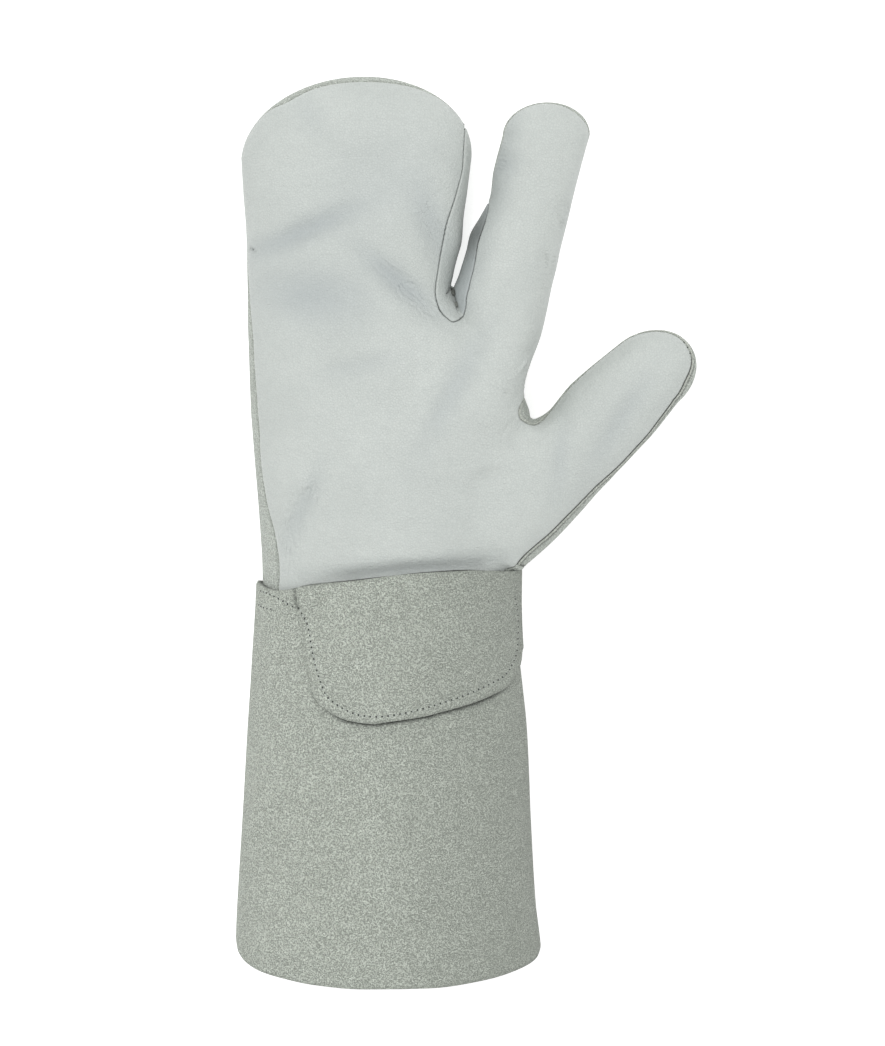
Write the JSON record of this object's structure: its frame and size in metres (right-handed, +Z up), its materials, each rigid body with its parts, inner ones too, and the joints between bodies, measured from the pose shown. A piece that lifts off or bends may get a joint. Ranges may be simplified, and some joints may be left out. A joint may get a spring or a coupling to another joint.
{
  "type": "three-finger welding mitt",
  "caption": "Leather welding mitt for the right hand, with a shared finger pocket beside a separate index finger and thumb, and a long gauntlet cuff with a sewn wrist patch.",
  "frame": {"origin": "middle of the mitt's plan, on the surface that it lies on", "axes": "+Y from the cuff to the fingertips, +X to the thumb's side, +Z up out of the palm"},
  "size_m": [0.178, 0.3441, 0.0669],
  "materials": {
    "grain_leather": "smooth matte grain side",
    "split_leather": "napped suede split",
    "cuff_leather": "napped suede split",
    "seam_welt": "napped suede split"
  },
  "bodies": {
    "root": {"palm": "grain_leather", "finger_gusset": "grain_leather", "back": "split_leather", "thumb_back": "split_leather", "thumb_welt": "seam_welt", "cuff": "cuff_leather", "wrist_patch": "cuff_leather"}
  },
  "joints": []
}
